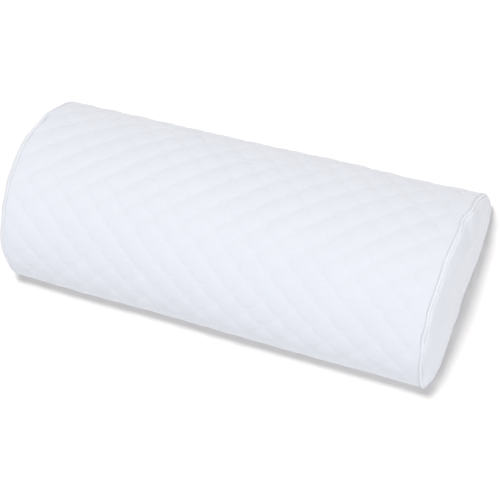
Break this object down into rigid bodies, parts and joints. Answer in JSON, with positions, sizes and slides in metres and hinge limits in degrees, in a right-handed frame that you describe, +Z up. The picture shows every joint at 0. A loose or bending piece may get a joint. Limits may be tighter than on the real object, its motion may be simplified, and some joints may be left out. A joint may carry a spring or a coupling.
{
  "type": "bolster pillow",
  "caption": "Half-moon bolster pillow with a flat underside, a foam core and a zipped cover with a bubble-quilted top and piped end seams.",
  "frame": {"origin": "centre of the flat underside, on the surface the bolster rests on", "axes": "+X along the bolster towards the closed end of the zip, +Y towards the rear side with the zip, +Z up"},
  "size_m": [0.48, 0.2, 0.088],
  "materials": {
    "foam": "matte",
    "liner": "matte",
    "quilt_knit": "matte",
    "quilt_loft": "matte",
    "backing": "matte",
    "plain_knit": "matte",
    "piping": "matte",
    "zip_tape": "matte",
    "zip_coil": "satin",
    "zip_metal": "gloss",
    "label": "satin"
  },
  "bodies": {
    "bolster": {"foam_core": "foam", "liner_wrap": "liner", "liner_end_left": "liner", "liner_end_right": "liner", "quilt_face": "quilt_knit", "quilt_filling": "quilt_loft", "quilt_backing": "backing", "base_panel": "plain_knit", "end_panel_left": "plain_knit", "end_panel_right": "plain_knit", "end_piping_left": "piping", "end_piping_right": "piping", "zip_tape_upper": "zip_tape", "zip_tape_lower": "zip_tape", "zip_coil_upper": "zip_coil", "zip_coil_lower": "zip_coil", "zip_top_stops": "zip_metal", "zip_bottom_stop": "zip_metal", "care_label": "label"},
    "slider": {"zip_slider": "zip_metal"},
    "pull": {"zip_pull": "zip_metal"}
  },
  "joints": [
    {"name": "zip_slide", "type": "slide", "parent": "bolster", "child": "slider", "axis": [-1, 0, 0], "range_m": [0, 0.3934]},
    {"name": "pull_flip", "type": "hinge", "parent": "slider", "child": "pull", "pos_m": [0.2012, 0.09825, 0.016], "axis": [0, 0, -1], "range_deg": [0, 150]}
  ]
}
